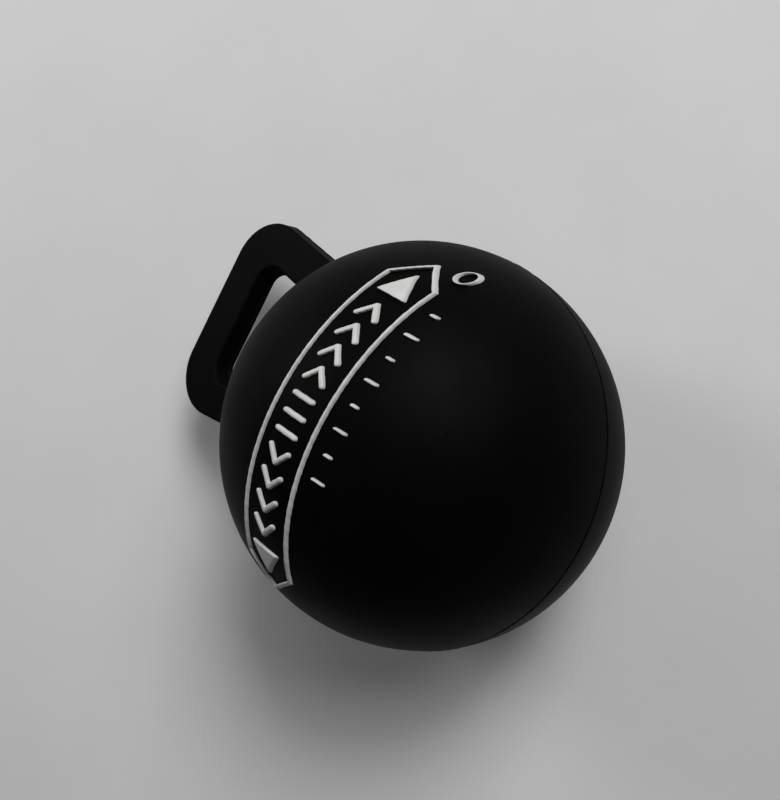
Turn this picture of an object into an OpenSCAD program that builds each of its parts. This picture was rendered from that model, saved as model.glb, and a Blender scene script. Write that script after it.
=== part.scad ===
// Kettlebell-shaped friction ball, lying on its side on a bench.
// Units are millimetres, +Z is up and z = 0 is the bench. The flat loop points
// along +Y and slopes down, with its outer edge clear of the bench.

/* [Ball] */
// Outside diameter of the ball
ball_d = 65; // [55:1:80]
// Thickness of the moulded skin around the core
skin_t = 3.5; // [2.5:0.25:6]
// Thickness of the bond film between the two moulded halves
bond_t = 0.3; // [0.2:0.05:0.6]
// How far the bond film stands proud of the skin along the seam
flash_h = 0.12; // [0.05:0.01:0.3]

/* [Pose] */
// How far the loop slopes down from level, in degrees
loop_slope = 21.3; // [0:0.1:30]

/* [Loop] */
// Distance from the ball's centre to the loop's outer edge
loop_reach = 57.7; // [50:0.1:70]
// Width of the loop at its outer edge, measured to the unrounded corners
loop_w = 44.1; // [36:0.1:50]
// How far the loop's outline sits off the middle of its slot
loop_shift = 0.4; // [-1:0.1:1]
// Extra half width for each millimetre away from the ball
loop_flare = 0.153; // [0:0.001:0.25]
// Radius of the loop's two outer corners
corner_r = 9.5; // [5:0.5:12]
// Thickness of the loop's front layer
front_t = 2.8; // [2:0.1:4]
// Thickness of the loop's rear layer
rear_t = 1.3; // [0.8:0.1:3]
// How far the rear layer's edge is set in from the front layer's
mould_step = 0.25; // [0.1:0.05:0.5]
// Width of the loop's two side bars
side_bar_w = 7.85; // [5:0.05:9]
// Width of the loop's outer bar
outer_bar_w = 8.7; // [6:0.05:11]
// Radius in the corners of the slot
slot_r = 3.5; // [2:0.25:5]

/* [Raised marking] */
// Height of the white inlays above the ball's surface
relief_h = 0.5; // [0.3:0.05:0.8]
// Depth of the pockets that the inlays sit in
relief_seat = 0.6; // [0.4:0.05:1]
// Height of the band's middle line over the ball's centre, towards the loop
band_z = -1.85; // [-6:0.05:6]
// Height of the band frame, between the middles of its strokes
band_h = 8.7; // [6:0.1:12]
// Length of the band frame from tip to tip
band_len = 54; // [40:0.5:58]
// Stroke width of the band frame
band_stroke = 0.55; // [0.5:0.05:1.2]
// Height of the marks inside the band
mark_h = 4.3; // [3:0.1:6]
// Stroke width of the marks inside the band
mark_stroke = 0.8; // [0.7:0.05:1.4]
// Number of chevrons on each side of the middle
chevron_count = 4; // [2:1:5]
// Distance from one chevron to the next
chevron_pitch = 3.6; // [3:0.1:5]
// Number of short ticks in the row under the band
tick_count = 8; // [4:1:10]
// Distance from one tick to the next
tick_pitch = 3.75; // [3:0.05:5]
// Stroke width of the ticks
tick_stroke = 0.5; // [0.5:0.05:0.9]
// Outside radius of the small ring mark
ring_r = 1.4; // [0.9:0.05:1.8]

/* [Hidden] */

$fn = 96;
ball_r = ball_d / 2;
core_r = ball_r - skin_t;
// the origin is under the middle of the overall size along Y
y_far = loop_reach * cos(loop_slope) + front_t * sin(loop_slope);
y_shift = (y_far - ball_r) / 2;
far = 2 * loop_reach;
hair = 0.001;
flare_len = sqrt(1 + loop_flare * loop_flare);
black = [0.045, 0.045, 0.05];
bond_black = [0.03, 0.03, 0.034];
core_grey = [0.2, 0.2, 0.21];
white = [0.8, 0.8, 0.79];
chevron_w = 2.0;
chevron_first = 6.2;
arrow_w = 4.2;
arrow_x = band_len / 2 - 2.8;
bar_pitch = 2.7;
tick_first = -6;
tick_z = -9.2;
ring_x = 26.9;
ring_z = -6.5;
ring_stroke = 0.4;
arrow_half_h = 2.8;

// Lays the upright toy down: its front turns up and its loop slopes down.
module lying() {
    translate([0, -y_shift, ball_r])
        rotate([-(90 + loop_slope), 0, 0])
            children();
}

// Stands a flat drawing up on the XZ plane, from y = from_y to y = from_y + t.
module slab(from_y, t) {
    translate([0, from_y + t, 0])
        rotate([90, 0, 0])
            linear_extrude(height = t)
                children();
}

// Rounded trapezoid that widens away from the ball; z runs along 2D y.
module flared(top_z, half_w_at_reach, r) {
    z_low = core_r * 0.9;
    zc = top_z - r;
    half_low = half_w_at_reach - loop_flare * (loop_reach - z_low);
    xc = half_w_at_reach - loop_flare * (loop_reach - zc) - r * flare_len;
    xt = xc + r / flare_len;
    zt = zc - r * loop_flare / flare_len;
    polygon([
        [-half_low, z_low], [half_low, z_low], [xt, zt],
        [xc, top_z], [-xc, top_z], [-xt, zt]
    ]);
    // a hair over size, so that each arc crosses its edges cleanly
    translate([xc, zc]) circle(r = r + hair);
    translate([-xc, zc]) circle(r = r + hair);
}

// Flat outline of the loop; grow moves every edge out by that much.
module loop_2d(grow) {
    difference() {
        translate([loop_shift, 0])
            flared(loop_reach + grow, loop_w / 2 + grow * flare_len, corner_r + grow);
        flared(
            loop_reach - outer_bar_w - grow,
            loop_w / 2 - side_bar_w * flare_len - grow * flare_len,
            slot_r
        );
    }
}

// Ball about the centre, turned so that its axis meets no edge or inlay.
module ball(r) {
    rotate([118, 0, 0])
        rotate([0, 0, -90])
            sphere(r = r);
}

// Outer skin of the ball on one side of the seam.
module half_skin(side) {
    intersection() {
        difference() {
            ball(ball_r);
            ball(core_r);
        }
        translate([-far / 2, side < 0 ? -far : bond_t / 2, -far / 2])
            cube([far, side < 0 ? far - bond_t / 2 : far, far]);
    }
}

// One layer of the loop, cut away where the core sits.
module loop_layer(from_y, t, grow) {
    difference() {
        slab(from_y, t) loop_2d(grow);
        ball(core_r + skin_t / 2);
    }
}

// A straight stroke with round ends.
module stroke(a, b, w) {
    len = sqrt((b[0] - a[0]) * (b[0] - a[0]) + (b[1] - a[1]) * (b[1] - a[1]));
    translate(a)
        rotate(atan2(b[1] - a[1], b[0] - a[0]))
            translate([0, -w / 2])
                square([len, w]);
    translate(a) circle(d = w);
    translate(b) circle(d = w);
}

// Raises a flat drawing out of the ball's front and seats it in the skin.
module inlay() {
    intersection() {
        slab(-far / 2, far / 2 - bond_t) children();
        difference() {
            ball(ball_r + relief_h);
            ball(ball_r - relief_seat);
        }
    }
}

// Long six-sided band with pointed ends.
module hexagon_2d(half_len, half_h) {
    x = half_len - half_h * 0.8;
    polygon([
        [-half_len, 0], [-x, -half_h], [x, -half_h],
        [half_len, 0], [x, half_h], [-x, half_h]
    ]);
}

module band_2d() {
    translate([0, band_z])
        difference() {
            hexagon_2d(band_len / 2, band_h / 2 + band_stroke / 2);
            hexagon_2d(band_len / 2 - band_stroke * 1.28, band_h / 2 - band_stroke / 2);
        }
}

// Solid arrowhead; dir is 1 for right and -1 for left.
module arrow_2d(dir) {
    translate([dir * arrow_x, band_z])
        polygon([
            [0, 0], [-dir * arrow_w, arrow_half_h], [-dir * arrow_w, -arrow_half_h]
        ]);
}

module chevron_2d(dir) {
    h = (mark_h - mark_stroke) / 2;
    for (i = [0 : chevron_count - 1]) {
        x = dir * (chevron_first + i * chevron_pitch);
        translate([x, band_z]) {
            stroke([-dir * chevron_w / 2, h], [dir * chevron_w / 2, 0], mark_stroke);
            stroke([-dir * chevron_w / 2, -h], [dir * chevron_w / 2, 0], mark_stroke);
        }
    }
}

module bars_2d() {
    h = (mark_h - mark_stroke) / 2;
    for (i = [-1 : 1])
        translate([i * bar_pitch, band_z])
            stroke([0, -h], [0, h], mark_stroke);
}

module ticks_2d() {
    for (i = [0 : tick_count - 1]) {
        h = i % 2 == 0 ? 0.8 : 0.4;
        translate([tick_first + i * tick_pitch, tick_z])
            stroke([0, -h], [0, h], tick_stroke);
    }
}

module ring_2d() {
    translate([ring_x, ring_z])
        difference() {
            circle(r = ring_r);
            circle(r = ring_r - ring_stroke);
        }
}

// Every inlay at once, for cutting the pockets.
module all_inlays() {
    inlay() band_2d();
    inlay() arrow_2d(-1);
    inlay() arrow_2d(1);
    inlay() chevron_2d(-1);
    inlay() chevron_2d(1);
    inlay() bars_2d();
    inlay() ticks_2d();
    inlay() ring_2d();
}

// Front moulding: half the ball's skin and the thick layer of the loop.
module front_shell() {
    color(black)
        lying()
            difference() {
                union() {
                    half_skin(-1);
                    loop_layer(-front_t, front_t - bond_t / 2, 0);
                }
                all_inlays();
            }
}

// Rear moulding: the other half of the skin and the thin layer of the loop.
module rear_shell() {
    color(black)
        lying()
            union() {
                half_skin(1);
                loop_layer(bond_t / 2, rear_t - bond_t / 2, -mould_step);
            }
}

// Bond film between the mouldings; its edge shows as the fine seam line.
module bond_seam() {
    color(bond_black)
        lying()
            slab(-bond_t / 2, bond_t)
                difference() {
                    union() {
                        loop_2d(flash_h);
                        circle(r = ball_r + flash_h);
                    }
                    circle(r = core_r);
                }
}

// Springy core that fills the skin.
module core() {
    color(core_grey)
        lying()
            ball(core_r);
}

module band_frame() {
    color(white) lying() inlay() band_2d();
}

module arrow_left() {
    color(white) lying() inlay() arrow_2d(-1);
}

module arrow_right() {
    color(white) lying() inlay() arrow_2d(1);
}

module chevrons_left() {
    color(white) lying() inlay() chevron_2d(-1);
}

module chevrons_right() {
    color(white) lying() inlay() chevron_2d(1);
}

module middle_bars() {
    color(white) lying() inlay() bars_2d();
}

module ticks() {
    color(white) lying() inlay() ticks_2d();
}

module ring_mark() {
    color(white) lying() inlay() ring_2d();
}

front_shell();
rear_shell();
bond_seam();
core();
band_frame();
arrow_left();
arrow_right();
chevrons_left();
chevrons_right();
middle_bars();
ticks();
ring_mark();
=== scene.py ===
import math

import bmesh
import bpy
import numpy as np
from mathutils import Matrix, Vector


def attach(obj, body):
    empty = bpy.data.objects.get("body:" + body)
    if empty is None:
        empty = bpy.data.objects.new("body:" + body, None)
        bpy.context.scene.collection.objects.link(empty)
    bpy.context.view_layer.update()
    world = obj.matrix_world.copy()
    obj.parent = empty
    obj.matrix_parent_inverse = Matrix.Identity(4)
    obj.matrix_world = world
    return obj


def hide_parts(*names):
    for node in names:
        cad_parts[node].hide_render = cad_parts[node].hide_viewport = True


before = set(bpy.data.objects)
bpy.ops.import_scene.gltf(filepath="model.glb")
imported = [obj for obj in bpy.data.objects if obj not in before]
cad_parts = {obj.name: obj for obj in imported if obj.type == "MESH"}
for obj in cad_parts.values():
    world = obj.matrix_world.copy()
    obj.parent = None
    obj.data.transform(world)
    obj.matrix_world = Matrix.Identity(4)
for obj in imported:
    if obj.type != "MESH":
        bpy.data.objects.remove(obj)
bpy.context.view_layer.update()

# ---------------------------------------------------------------- sizes, in mm
BALL_R = 32.5
CORE_R = 29.0
BOND_T = 0.3
LOOP_SLOPE = 21.3         # degrees down from level
LOOP_REACH = 57.7
LOOP_W = 44.1
LOOP_SHIFT = 0.4          # the outer outline sits this far off the slot's middle
LOOP_FLARE = 0.153
CORNER_R = 9.5
FRONT_T = 2.8
REAR_T = 1.3
MOULD_STEP = 0.25
SIDE_BAR_W = 7.85
OUTER_BAR_W = 8.7
SLOT_R = 3.5
RELIEF_H = 0.5
BAND_Z = -1.85
BAND_H = 8.7
BAND_LEN = 54.0
BAND_STROKE = 0.55
MARK_H = 4.3
MARK_STROKE = 0.8
CHEVRON_COUNT = 4
CHEVRON_PITCH = 3.6
CHEVRON_W = 2.0
CHEVRON_FIRST = 6.2
ARROW_W = 4.2
ARROW_HALF_H = 2.8
ARROW_X = BAND_LEN / 2 - 2.8
BAR_PITCH = 2.7
TICK_COUNT = 8
TICK_PITCH = 3.75
TICK_STROKE = 0.5
TICK_FIRST = -6.0
TICK_Z = -9.2
RING_X = 26.9
RING_Z = -6.5
RING_R = 1.4
RING_STROKE = 0.4

FLARE_LEN = math.hypot(1.0, LOOP_FLARE)
TILT = math.radians(LOOP_SLOPE)
Y_FAR = LOOP_REACH * math.cos(TILT) + FRONT_T * math.sin(TILT)
CENTRE = Vector((0.0, -(Y_FAR - BALL_R) / 2, BALL_R))  # the ball's centre, mm
MM = 0.001


def laid_down(p):
    """Upright points, in mm, to their place on the bench, in metres."""
    s, c = math.sin(TILT), math.cos(TILT)
    p = np.asarray(p, float)
    out = np.empty_like(p)
    out[:, 0] = p[:, 0] + CENTRE.x
    out[:, 1] = -p[:, 1] * s + p[:, 2] * c + CENTRE.y
    out[:, 2] = -p[:, 1] * c - p[:, 2] * s + CENTRE.z
    return out * MM


# ------------------------------------------------------- meshes from distances
def nets(field, axes):
    """Quads on the surface where field(x, y, z) = 0, over a grid with any spacing."""
    X, Y, Z = np.meshgrid(*axes, indexing="ij", sparse=True)
    F = np.asarray(field(X, Y, Z), np.float32)
    inside = F < 0
    n = inside.shape
    count = np.zeros([k - 1 for k in n], np.int8)
    for i in (0, 1):
        for j in (0, 1):
            for k in (0, 1):
                count += inside[
                    i : n[0] - 1 + i, j : n[1] - 1 + j, k : n[2] - 1 + k
                ]
    active = (count > 0) & (count < 8)
    index = np.full(active.shape, -1, np.int64)
    cells = np.argwhere(active)
    index[active] = np.arange(len(cells))
    total = np.zeros((len(cells), 3))
    hits = np.zeros(len(cells))
    for a in range(3):
        b, c = (a + 1) % 3, (a + 2) % 3
        for db in (0, 1):
            for dc in (0, 1):
                start = cells.copy()
                start[:, b] += db
                start[:, c] += dc
                end = start.copy()
                end[:, a] += 1
                f0 = F[tuple(start.T)].astype(float)
                f1 = F[tuple(end.T)].astype(float)
                cut = (f0 < 0) != (f1 < 0)
                t = f0[cut] / (f0[cut] - f1[cut])
                p = np.stack([axes[i][start[cut, i]] for i in range(3)], 1)
                q = np.stack([axes[i][end[cut, i]] for i in range(3)], 1)
                total[cut] += p + (q - p) * t[:, None]
                hits[cut] += 1
    verts = total / np.maximum(hits, 1)[:, None]
    quads = []
    for a in range(3):
        b, c = (a + 1) % 3, (a + 2) % 3
        low = [slice(None)] * 3
        high = [slice(None)] * 3
        low[a] = slice(0, n[a] - 1)
        high[a] = slice(1, n[a])
        edges = np.argwhere(inside[tuple(low)] != inside[tuple(high)])
        keep = (
            (edges[:, b] > 0)
            & (edges[:, c] > 0)
            & (edges[:, b] < n[b] - 1)
            & (edges[:, c] < n[c] - 1)
        )
        edges = edges[keep]
        corners = []
        for db, dc in ((1, 1), (0, 1), (0, 0), (1, 0)):
            cell = edges.copy()
            cell[:, b] -= db
            cell[:, c] -= dc
            corners.append(index[tuple(cell.T)])
        q = np.stack(corners, 1)
        outward = inside[tuple(edges.T)]
        q[~outward] = q[~outward][:, ::-1]
        quads.append(q)
    return verts, np.concatenate(quads)


PROBE = 0.02               # how far the slope is measured, in steps
LONGEST_MOVE = 0.7         # the longest move in one round, in steps


def snapped(field, verts, step, rounds=5):
    """Moves points onto the surface along its slope."""
    h = step * PROBE
    for _ in range(rounds):
        x, y, z = verts.T
        f = field(x, y, z)
        g = np.stack(
            [
                (field(x + h, y, z) - field(x - h, y, z)) / (2 * h),
                (field(x, y + h, z) - field(x, y - h, z)) / (2 * h),
                (field(x, y, z + h) - field(x, y, z - h)) / (2 * h),
            ],
            1,
        )
        move = g * (f / np.maximum((g * g).sum(1), 1e-6))[:, None]
        size = np.linalg.norm(move, axis=1)
        move *= np.minimum(1.0, step * LONGEST_MOVE / np.maximum(size, 1e-9))[:, None]
        verts = verts - move
    return verts


def piece(name, verts, faces, nodes, material):
    """A finished piece from points in metres."""
    mesh = bpy.data.meshes.new(name)
    mesh.from_pydata([tuple(v) for v in verts], [], [tuple(map(int, f)) for f in faces])
    mesh.validate()
    mesh.update()
    mesh.polygons.foreach_set("use_smooth", [True] * len(mesh.polygons))
    o = bpy.data.objects.new(name, mesh)
    bpy.context.scene.collection.objects.link(o)
    o.data.materials.append(material)
    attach(o, "root")
    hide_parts(*nodes)
    return o


# ------------------------------------------------------------ distance shapes
def round_max(a, b, r):
    """The common part of two shapes, with its outside edge rounded to r."""
    return np.minimum(np.maximum(a, b), -r) + np.hypot(
        np.maximum(a + r, 0), np.maximum(b + r, 0)
    )


def soft_min(a, b, k):
    """Two shapes joined with a fillet of about k."""
    h = np.maximum(k - np.abs(a - b), 0) / k
    return np.minimum(a, b) - h * h * k / 4


def segment(px, pz, ax, az, bx, bz):
    """Distance to a straight stroke's middle line, in the drawing plane."""
    dx, dz = bx - ax, bz - az
    t = np.clip(((px - ax) * dx + (pz - az) * dz) / (dx * dx + dz * dz), 0, 1)
    return np.hypot(px - ax - t * dx, pz - az - t * dz)


OPEN_END_Z = -20.0         # the outlines run on down to here, inside the ball


def flared(x, z, top, half_w, r):
    """Rounded outline that widens away from the ball, open towards it."""
    zc = top - r
    xc = half_w - LOOP_FLARE * (LOOP_REACH - zc) - r * FLARE_LEN
    low = OPEN_END_Z
    xb = xc - LOOP_FLARE * (zc - low)
    ax = np.abs(x)
    edge = np.minimum(
        segment(ax, z, xc, zc, xb, low), segment(ax, z, 0.0, zc, xc, zc)
    )
    is_in = (z < zc) & (ax < xc - LOOP_FLARE * (zc - z))
    return np.where(is_in, -edge, edge) - r


def loop_outline(x, z, inset, slot_inset):
    """The loop seen flat, with its outer edge and its slot's edge moved into it."""
    outer = flared(x - LOOP_SHIFT, z, LOOP_REACH, LOOP_W / 2, CORNER_R)
    slot = flared(
        x, z, LOOP_REACH - OUTER_BAR_W, LOOP_W / 2 - SIDE_BAR_W * FLARE_LEN, SLOT_R
    )
    return np.maximum(outer + inset, slot_inset - slot)


LOOP_ROOT_Z = 20.0         # the loop's layers end here, inside the ball
FRONT_DRAFT = 0.3
REAR_DRAFT = 0.22
SLOT_TAPER = 0.55          # the slot goes on narrowing through the rear layer
DRAFT_PAST_FRONT = 1.2     # the draft runs on past each face by these factors
DRAFT_PAST_REAR = 1.4
FRONT_EDGE_ROUND = 0.35
REAR_EDGE_ROUND = 0.4
ROOT_FILLET = 1.6
SEAM_ROUND = 0.14


def front_field(x, y, z):
    """The front moulding: below 0 inside it, above 0 outside."""
    draft = FRONT_DRAFT * np.clip(-y / FRONT_T, 0, DRAFT_PAST_FRONT)
    flat = loop_outline(x, z, draft, draft)
    layer = round_max(flat, -y - FRONT_T, FRONT_EDGE_ROUND)
    r = np.sqrt(x * x + y * y + z * z)
    body = soft_min(r - BALL_R, np.maximum(layer, LOOP_ROOT_Z - z), ROOT_FILLET)
    body = round_max(body, y + BOND_T / 2, SEAM_ROUND)
    return np.maximum(body, CORE_R - r)


def rear_field(x, y, z):
    """The rear moulding, in the same way."""
    deep = np.clip(y / REAR_T, 0, DRAFT_PAST_REAR)
    flat = loop_outline(x, z, MOULD_STEP + REAR_DRAFT * deep, -SLOT_TAPER * deep)
    layer = round_max(flat, y - REAR_T, REAR_EDGE_ROUND)
    r = np.sqrt(x * x + y * y + z * z)
    body = soft_min(r - BALL_R, np.maximum(layer, LOOP_ROOT_Z - z), ROOT_FILLET)
    body = round_max(body, BOND_T / 2 - y, SEAM_ROUND)
    return np.maximum(body, CORE_R - r)


def spaced(*stretches):
    """Grid lines from (start, end, step) stretches that follow one another."""
    out = []
    for a, b, step in stretches:
        out.extend(np.arange(a, b - step * 0.25, step))
    out.append(stretches[-1][1])
    return np.array(out)


GRID = 0.38                # the shells' grid step
GRID_OUT = 33.3            # the grid's reach round the ball
EDGE_FROM, EDGE_TO = 56.5, 58.5    # a finer stretch over the loop's outer edge


def shell(name, field, y_axis, nodes, rubber):
    """One half of the skin with its layer of the loop, as a finished piece."""
    x_axis = spaced((-GRID_OUT, GRID_OUT, GRID))
    z_axis = spaced((-GRID_OUT, EDGE_FROM, GRID), (EDGE_FROM, EDGE_TO, 0.16))
    verts, quads = nets(field, (x_axis, y_axis, z_axis))
    verts = snapped(field, verts, 0.1)
    return piece(name, laid_down(verts), quads, nodes, rubber)


# ------------------------------------------------------------------ materials
def material(name):
    m = bpy.data.materials.new(name)
    m.use_nodes = True
    tree = m.node_tree
    tree.nodes.clear()
    out = tree.nodes.new("ShaderNodeOutputMaterial")
    shader = tree.nodes.new("ShaderNodeBsdfPrincipled")
    tree.links.new(shader.outputs["BSDF"], out.inputs["Surface"])
    return m, tree, shader


def place(tree):
    return tree.nodes.new("ShaderNodeTexCoord").outputs["Object"]


def noise(tree, at, size_mm, detail=3.0, rough=0.5):
    n = tree.nodes.new("ShaderNodeTexNoise")
    n.inputs["Scale"].default_value = 1000.0 / size_mm
    n.inputs["Detail"].default_value = detail
    n.inputs["Roughness"].default_value = rough
    tree.links.new(at, n.inputs["Vector"])
    return n.outputs["Fac"]


def ramp(tree, value, stops):
    r = tree.nodes.new("ShaderNodeValToRGB")
    while len(r.color_ramp.elements) < len(stops):
        r.color_ramp.elements.new(0.5)
    for e, (pos, col) in zip(r.color_ramp.elements, stops):
        e.position = pos
        e.color = (*col, 1.0) if isinstance(col, tuple) else (col, col, col, 1.0)
    tree.links.new(value, r.inputs["Fac"])
    return r.outputs["Color"]


def math_node(tree, op, a, b):
    n = tree.nodes.new("ShaderNodeMath")
    n.operation = op
    for i, v in enumerate((a, b)):
        if isinstance(v, (int, float)):
            n.inputs[i].default_value = v
        else:
            tree.links.new(v, n.inputs[i])
    return n.outputs[0]


def mix(tree, fac, a, b):
    n = tree.nodes.new("ShaderNodeMix")
    n.data_type = "RGBA"
    tree.links.new(fac, n.inputs["Factor"])
    for i, v in ((6, a), (7, b)):
        if isinstance(v, tuple):
            n.inputs[i].default_value = (*v, 1.0)
        else:
            tree.links.new(v, n.inputs[i])
    return n.outputs[2]


def bump(tree, shader, height, strength, distance_mm):
    b = tree.nodes.new("ShaderNodeBump")
    b.inputs["Strength"].default_value = strength
    b.inputs["Distance"].default_value = distance_mm * MM
    tree.links.new(height, b.inputs["Height"])
    tree.links.new(b.outputs["Normal"], shader.inputs["Normal"])
    return b


def rubber_material(name, shine):
    """Matte black rubber; shine scales its faint reflection."""
    m, t, s = material(name)
    at = place(t)
    cloud = noise(t, at, 9.0, 4.0, 0.55)
    s.inputs["Specular IOR Level"].default_value = shine
    base = ramp(t, cloud, [(0.3, (0.0009, 0.0009, 0.0011)), (0.7, (0.0015, 0.0015, 0.0017))])
    specks = noise(t, at, 1.3, 2.0, 0.5)
    speck_mask = ramp(t, specks, [(0.735, 0.0), (0.77, 1.0)])
    t.links.new(mix(t, speck_mask, base, (0.0030, 0.0030, 0.0032)), s.inputs["Base Color"])
    handled = noise(t, at, 16.0, 3.0, 0.5)
    rough = ramp(t, handled, [(0.3, 0.50), (0.7, 0.60)])
    t.links.new(rough, s.inputs["Roughness"])
    pebble = noise(t, at, 0.16, 2.0, 0.6)
    wave = noise(t, at, 5.0, 2.0, 0.4)
    relief = math_node(t, "ADD", math_node(t, "MULTIPLY", pebble, 0.35), wave)
    bump(t, s, relief, 0.35, 0.05)
    return m


def inlay_material():
    m, t, s = material("white_inlay_rubber")
    at = place(t)
    cloud = noise(t, at, 4.0, 3.0, 0.6)
    base = ramp(t, cloud, [(0.3, (0.46, 0.46, 0.455)), (0.7, (0.54, 0.54, 0.53))])
    grime = noise(t, at, 0.9, 3.0, 0.6)
    mask = ramp(t, grime, [(0.62, 0.0), (0.8, 0.35)])
    t.links.new(mix(t, mask, base, (0.30, 0.295, 0.29)), s.inputs["Base Color"])
    s.inputs["Specular IOR Level"].default_value = 0.4
    rough = ramp(t, noise(t, at, 2.0), [(0.3, 0.42), (0.7, 0.55)])
    t.links.new(rough, s.inputs["Roughness"])
    bump(t, s, noise(t, at, 0.35, 3.0, 0.6), 0.25, 0.05)
    return m


def bond_material():
    m, t, s = material("bond_film")
    at = place(t)
    shades = [(0.3, (0.0004, 0.0004, 0.0005)), (0.7, (0.0008, 0.0008, 0.0009))]
    base = ramp(t, noise(t, at, 1.2), shades)
    t.links.new(base, s.inputs["Base Color"])
    s.inputs["Specular IOR Level"].default_value = 0.02
    rough = ramp(t, noise(t, at, 0.8), [(0.3, 0.6), (0.7, 0.8)])
    t.links.new(rough, s.inputs["Roughness"])
    bump(t, s, noise(t, at, 0.5, 3.0), 0.4, 0.05)
    return m


def core_material():
    m, t, s = material("core_foam")
    at = place(t)
    base = ramp(t, noise(t, at, 1.5), [(0.3, (0.03, 0.03, 0.032)), (0.7, (0.05, 0.05, 0.052))])
    t.links.new(base, s.inputs["Base Color"])
    s.inputs["Roughness"].default_value = 0.85
    bump(t, s, noise(t, at, 0.8, 3.0), 0.6, 0.2)
    return m


def paper_material():
    m, t, s = material("plain_paper")
    at = place(t)
    shades = [(0.3, (0.60, 0.60, 0.602)), (0.7, (0.625, 0.625, 0.627))]
    base = ramp(t, noise(t, at, 30.0, 4.0, 0.55), shades)
    t.links.new(base, s.inputs["Base Color"])
    s.inputs["Roughness"].default_value = 0.9
    s.inputs["Specular IOR Level"].default_value = 0.2
    fibre = noise(t, at, 0.6, 4.0, 0.6)
    ripple = math_node(t, "MULTIPLY", noise(t, at, 7.0), 1.5)
    bump(t, s, math_node(t, "ADD", fibre, ripple), 0.25, 0.06)
    return m


FRONT_RUBBER = rubber_material("front_rubber", 0.031)
REAR_RUBBER = rubber_material("rear_rubber", 0.043)
INLAY = inlay_material()
BOND = bond_material()
CORE = core_material()
PAPER = paper_material()

# --------------------------------------------------------------------- shells
shell(
    "skin_front",
    front_field,
    spaced(
        (-GRID_OUT, -3.3, GRID),
        (-3.3, -2.1, 0.15),
        (-2.1, -0.6, 0.3),
        (-0.6, 0.05, 0.065),
    ),
    ["front_shell"],
    FRONT_RUBBER,
)
shell(
    "skin_rear",
    rear_field,
    spaced((-0.05, 0.6, 0.065), (0.6, 1.6, 0.14), (1.6, GRID_OUT, GRID)),
    ["rear_shell"],
    REAR_RUBBER,
)


# ------------------------------------------------------------------ seam film
FILM_STEP = 0.35           # distance between points along its edge
FILM_LIP = 0.03            # the lip's least height out of the seam
FILM_LIP_SPREAD = 0.08     # what the uneven stretches add to it
FILM_ROUND_POINTS = 160    # points round its hole
# across the lip: place along Y, and height as a share of the lip or, below 0, in mm
FILM_PROFILE = (
    (-BOND_T / 2, -0.35),
    (-0.2, 0.3),
    (-0.1, 0.85),
    (0.0, 1.0),
    (0.1, 0.85),
    (0.2, 0.3),
    (BOND_T / 2, -0.35),
)


def contour_points(step):
    """The film's outer outline and the slot, as closed loops in the XZ plane."""

    def corner(xc, zc, r, a0, a1):
        n = max(6, int(abs(a1 - a0) * r / step))
        return [
            (xc + r * math.cos(a), zc + r * math.sin(a)) for a in np.linspace(a0, a1, n)
        ]

    def straight(p, q):
        n = max(2, int(math.dist(p, q) / step))
        return [
            (p[0] + (q[0] - p[0]) * t, p[1] + (q[1] - p[1]) * t)
            for t in np.linspace(0, 1, n)[1:-1]
        ]

    slant = math.atan(LOOP_FLARE)

    def outline(top, half_w, r, shift):
        """The open side of one outline, from its right ball crossing to its left."""

        def side_x(z, side):
            return side * (half_w - LOOP_FLARE * (LOOP_REACH - z)) + shift

        def meet(side):
            """Where a side line crosses the ball's outline."""
            lo, hi = LOOP_ROOT_Z, BALL_R + 5
            for _ in range(60):
                mid = (lo + hi) / 2
                if math.hypot(side_x(mid, side), mid) < BALL_R:
                    lo = mid
                else:
                    hi = mid
            return side_x(lo, side), lo

        zc = top - r
        xc = half_w - LOOP_FLARE * (LOOP_REACH - zc) - r * FLARE_LEN
        start, end = meet(1), meet(-1)
        right = corner(shift + xc, zc, r, -slant, math.pi / 2)
        left = corner(shift - xc, zc, r, math.pi / 2, math.pi + slant)
        path = [start] + straight(start, right[0]) + right
        path += straight(right[-1], left[0]) + left
        return path + straight(left[-1], end) + [end]

    outer = outline(LOOP_REACH, LOOP_W / 2, CORNER_R, LOOP_SHIFT)
    a0 = math.atan2(outer[-1][1], outer[-1][0])
    a1 = math.atan2(outer[0][1], outer[0][0]) + 2 * math.pi
    outer += corner(0, 0, BALL_R, a0, a1)[1:-1]
    half_slot = LOOP_W / 2 - SIDE_BAR_W * FLARE_LEN
    slot = outline(LOOP_REACH - OUTER_BAR_W, half_slot, SLOT_R, 0.0)
    a0 = math.atan2(slot[-1][1], slot[-1][0])
    a1 = math.atan2(slot[0][1], slot[0][0])
    slot += corner(0, 0, BALL_R, a0, a1)[1:-1]
    return np.array(outer), np.array(slot)


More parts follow.
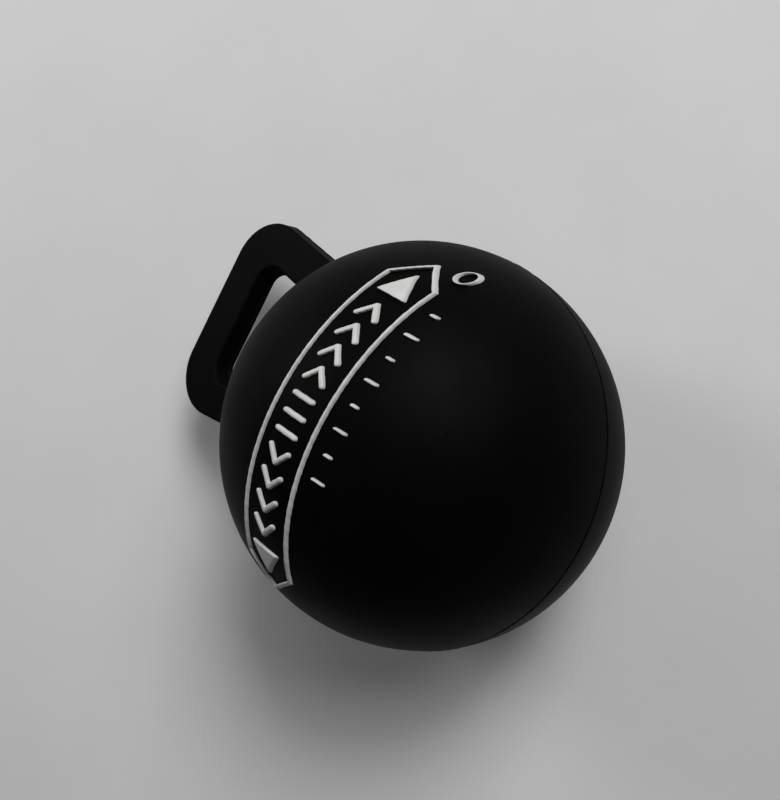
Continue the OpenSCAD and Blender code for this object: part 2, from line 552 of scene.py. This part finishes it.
def seam_film():
    """A thin sheet whose edge stands out of the seam by an uneven hair."""
    rims = []
    outer, slot = contour_points(FILM_STEP)
    for loop, out in ((outer, 1.0), (slot, -1.0)):
        ahead = np.roll(loop, -1, 0) - np.roll(loop, 1, 0)
        ahead /= np.linalg.norm(ahead, axis=1)[:, None]
        normal = np.stack([ahead[:, 1], -ahead[:, 0]], 1) * out
        x, z = loop.T
        uneven = 0.5 + 0.25 * np.sin(x * 1.9 + z * 1.3) + 0.25 * np.sin(z * 3.1 - x * 2.3)
        rims.append((loop, normal, FILM_LIP + FILM_LIP_SPREAD * uneven))
    verts, faces, rows = [], [], []
    for loop, normal, lip in rims:
        ring = []
        for y, k in FILM_PROFILE:
            start = len(verts)
            offset = np.where(k > 0, lip * k, k)
            for (x, z), (nx, nz), d in zip(loop, normal, np.broadcast_to(offset, len(loop))):
                verts.append((x + nx * d, y, z + nz * d))
            ring.append(range(start, start + len(loop)))
        rows.append(ring)
        n = len(loop)
        for a, b in zip(ring, ring[1:]):
            for i in range(n):
                j = (i + 1) % n
                faces.append((a[i], a[j], b[j], b[i]))
    n = FILM_ROUND_POINTS
    inner = []
    for y in (-BOND_T / 2, BOND_T / 2):
        start = len(verts)
        for i in range(n):
            a = 2 * math.pi * i / n
            verts.append((CORE_R * math.cos(a), y, CORE_R * math.sin(a)))
        inner.append(range(start, start + n))
    for i in range(n):
        j = (i + 1) % n
        faces.append((inner[0][i], inner[0][j], inner[1][j], inner[1][i]))
    mesh = bpy.data.meshes.new("seam_film")
    mesh.from_pydata(verts, [], faces)
    bm = bmesh.new()
    bm.from_mesh(mesh)
    bm.verts.ensure_lookup_table()
    for side, pick in ((0, 0), (1, -1)):
        edges = []
        for ring in (rows[0][pick], rows[1][pick], inner[side]):
            ring = list(ring)
            for i, v in enumerate(ring):
                w = ring[(i + 1) % len(ring)]
                e = bm.edges.get((bm.verts[v], bm.verts[w]))
                edges.append(e)
        bmesh.ops.triangle_fill(bm, use_beauty=True, use_dissolve=False, edges=edges)
    bmesh.ops.recalc_face_normals(bm, faces=bm.faces)
    bm.to_mesh(mesh)
    bm.free()
    co = np.array([v.co for v in mesh.vertices])
    polys = [tuple(p.vertices) for p in mesh.polygons]
    bpy.data.meshes.remove(mesh)
    return piece("seam_film", laid_down(co), polys, ["bond_seam"], BOND)


seam_film()


# --------------------------------------------------------------------- inlays
def hexagon(x, z, half_len, half_h):
    """Long six-sided outline with pointed ends, about its own middle."""
    run = half_h * 0.8
    ax, az = np.abs(x), np.abs(z)
    slant = math.hypot(run, half_h)
    ends = ((ax - half_len) * half_h + az * run) / slant
    return np.maximum(az - half_h, ends)


def wobble(x, z):
    """The uneven edge of an inlay poured by hand, in mm."""
    return 0.018 * np.sin(x * 2.3 + z * 1.1 + 0.7) + 0.014 * np.sin(x * 5.1 - z * 3.7)


BAND_TIP_IN = 0.51         # from the frame's tip to the middle of its stroke


def band_2d(x, z):
    w = BAND_STROKE / 2
    middle = hexagon(x, z - BAND_Z, BAND_LEN / 2 - BAND_TIP_IN, BAND_H / 2)
    return np.abs(middle) - w


def arrow_2d(d):
    def shape(x, z):
        px, pz = (x * d - ARROW_X), np.abs(z - BAND_Z)
        length = math.hypot(ARROW_W, ARROW_HALF_H)
        slope = (px * ARROW_HALF_H + pz * ARROW_W) / length
        return round_max(slope, -px - ARROW_W, 0.35)

    return shape


def chevrons_2d(d):
    h = (MARK_H - MARK_STROKE) / 2

    def shape(x, z):
        out = None
        for i in range(CHEVRON_COUNT):
            px = x * d - CHEVRON_FIRST - i * CHEVRON_PITCH
            pz = np.abs(z - BAND_Z)
            one = segment(px, pz, -CHEVRON_W / 2, h, CHEVRON_W / 2, 0.0)
            out = one if out is None else np.minimum(out, one)
        return out - MARK_STROKE / 2

    return shape


def bars_2d(x, z):
    h = (MARK_H - MARK_STROKE) / 2
    out = None
    for i in (-1, 0, 1):
        one = segment(x - i * BAR_PITCH, z - BAND_Z, 0.0, -h, 0.0, h)
        out = one if out is None else np.minimum(out, one)
    return out - MARK_STROKE / 2


def ticks_2d(x, z):
    out = None
    for i in range(TICK_COUNT):
        h = 0.8 if i % 2 == 0 else 0.4
        one = segment(x - TICK_FIRST - i * TICK_PITCH, z - TICK_Z, 0.0, -h, 0.0, h)
        out = one if out is None else np.minimum(out, one)
    return out - TICK_STROKE / 2


def ring_2d(x, z):
    r = np.hypot(x - RING_X, z - RING_Z)
    return np.abs(r - (RING_R - RING_STROKE / 2)) - RING_STROKE / 2


INLAY_DRAFT = 0.16         # how fast an inlay narrows with height
INLAY_TOP_ROUND = 0.24
INLAY_FOOT_ROUND = 0.05
INLAY_SUNK = 0.4           # how far it goes into the skin


def inlay(name, drawing, x_range, z_range, node, fine=0.12):
    """A flat drawing raised out of the ball's front, along the mould's pull."""

    def field(x, h, z):
        side = drawing(x, z) + wobble(x, z) + INLAY_DRAFT * h
        top = round_max(side, h - RELIEF_H, INLAY_TOP_ROUND)
        return round_max(top, -INLAY_SUNK - h, INLAY_FOOT_ROUND)

    axes = (
        spaced((x_range[0], x_range[1], fine)),
        spaced((-0.5, 0.1, 0.2), (0.1, 0.6, 0.07)),
        spaced((z_range[0], z_range[1], fine)),
    )
    verts, quads = nets(field, axes)
    verts = snapped(field, verts, 0.06)
    x, h, z = verts.T
    y = -np.sqrt(np.maximum((BALL_R + h) ** 2 - x * x - z * z, 0.01))
    # h grows towards the front, which is -y, so the faces turn over
    return piece(
        name,
        laid_down(np.stack([x, y, z], 1)),
        quads[:, ::-1],
        [node],
        INLAY,
    )


band_rows = (BAND_Z - BAND_H / 2 - 0.9, BAND_Z + BAND_H / 2 + 0.9)
mark_rows = (BAND_Z - 3.5, BAND_Z + 3.5)
inlay("inlay_band", band_2d, (-27.8, 27.8), band_rows, "band_frame")
for side, d in (("left", -1), ("right", 1)):
    reach = sorted((19.3 * d, 24.9 * d))
    inlay(f"inlay_arrow_{side}", arrow_2d(d), reach, mark_rows, f"arrow_{side}")
for side, d in (("left", -1), ("right", 1)):
    reach = sorted((4.2 * d, 19.2 * d))
    inlay(f"inlay_chevrons_{side}", chevrons_2d(d), reach, mark_rows, f"chevrons_{side}")
inlay("inlay_middle_bars", bars_2d, (-3.6, 3.6), mark_rows, "middle_bars")
inlay("inlay_ticks", ticks_2d, (-6.8, 21.1), (-10.6, -7.8), "ticks", 0.1)
inlay("inlay_ring", ring_2d, (25.2, 28.6), (-8.2, -4.8), "ring_mark", 0.08)

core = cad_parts["core"]
core.data.materials.clear()
core.data.materials.append(CORE)
core.data.polygons.foreach_set("use_smooth", [True] * len(core.data.polygons))

# ---------------------------------------------------------------------- stage
PAPER_SIZE = 3.0           # metres
PAPER_DROP = 0.00002       # keeps the paper's face off the part's lowest point
bpy.ops.mesh.primitive_plane_add(size=PAPER_SIZE, location=(0, 0, -PAPER_DROP))
floor = bpy.context.object
floor.name = "paper_floor"
floor.data.materials.append(PAPER)


def area_light(name, at, toward, size, power):
    data = bpy.data.lights.new(name, "AREA")
    data.shape = "DISK"
    data.size = size
    data.energy = power
    o = bpy.data.objects.new(name, data)
    bpy.context.scene.collection.objects.link(o)
    o.location = at
    o.rotation_euler = (Vector(toward) - Vector(at)).to_track_quat("-Z", "Y").to_euler()
    return o


BALL = CENTRE * MM
# the camera's right and up, laid on the bench, to place lights by the picture
RIGHT = Vector((0.4658, -0.8849, 0.0)).normalized()
UP = Vector((0.8849, 0.4658, 0.0)).normalized()


LAMP_SPREAD = 0.36         # a lamp's diameter over its distance


def lamp(name, azimuth, elevation, distance, power):
    """A round soft lamp; azimuth turns from the picture's right to its up, in degrees."""
    turn, rise = math.radians(azimuth), math.radians(elevation)
    flat = (RIGHT * math.cos(turn) + UP * math.sin(turn)) * math.cos(rise)
    at = BALL + (flat + Vector((0, 0, math.sin(rise)))) * distance
    return area_light(name, at, BALL, distance * LAMP_SPREAD, power)


# name, azimuth and elevation in degrees, distance in metres, power in watts
lamp("key", 60.0, 43.0, 1.5, 11.3)
lamp("high", 72.0, 57.0, 1.5, 2.6)
lamp("near_key", 42.0, 50.0, 0.5, 0.85)
lamp("side", 144.0, 27.0, 0.5, 0.76)

world = bpy.data.worlds.new("studio")
world.use_nodes = True
surroundings = world.node_tree.nodes["Background"]
surroundings.inputs["Color"].default_value = (1.0, 1.0, 1.0, 1.0)
surroundings.inputs["Strength"].default_value = 0.02
bpy.context.scene.world = world

# --------------------------------------------------------------------- camera
SENSOR = 36.0              # mm over the picture's long side
LENS = 41.2425             # mm
EYE = Vector((26.770, -32.822, 146.078))    # from the ball's centre, mm
LOOK = Vector((-0.05736, 0.31302, -0.94801))
LOOK_RIGHT = Vector((0.44356, -0.84272, -0.30509))
cam_data = bpy.data.cameras.new("camera")
cam_data.sensor_width = SENSOR
cam_data.lens = LENS
cam_data.shift_y = -0.125
cam_data.clip_start = 0.005
cam = bpy.data.objects.new("camera", cam_data)
bpy.context.scene.collection.objects.link(cam)
forward = LOOK.normalized()
right = (LOOK_RIGHT - forward * LOOK_RIGHT.dot(forward)).normalized()
up = right.cross(forward)
m = Matrix((right, up, -forward)).transposed().to_4x4()
m.translation = (CENTRE + EYE) * MM
cam.matrix_world = m
bpy.context.scene.camera = cam
bpy.context.scene.view_settings.view_transform = "Standard"
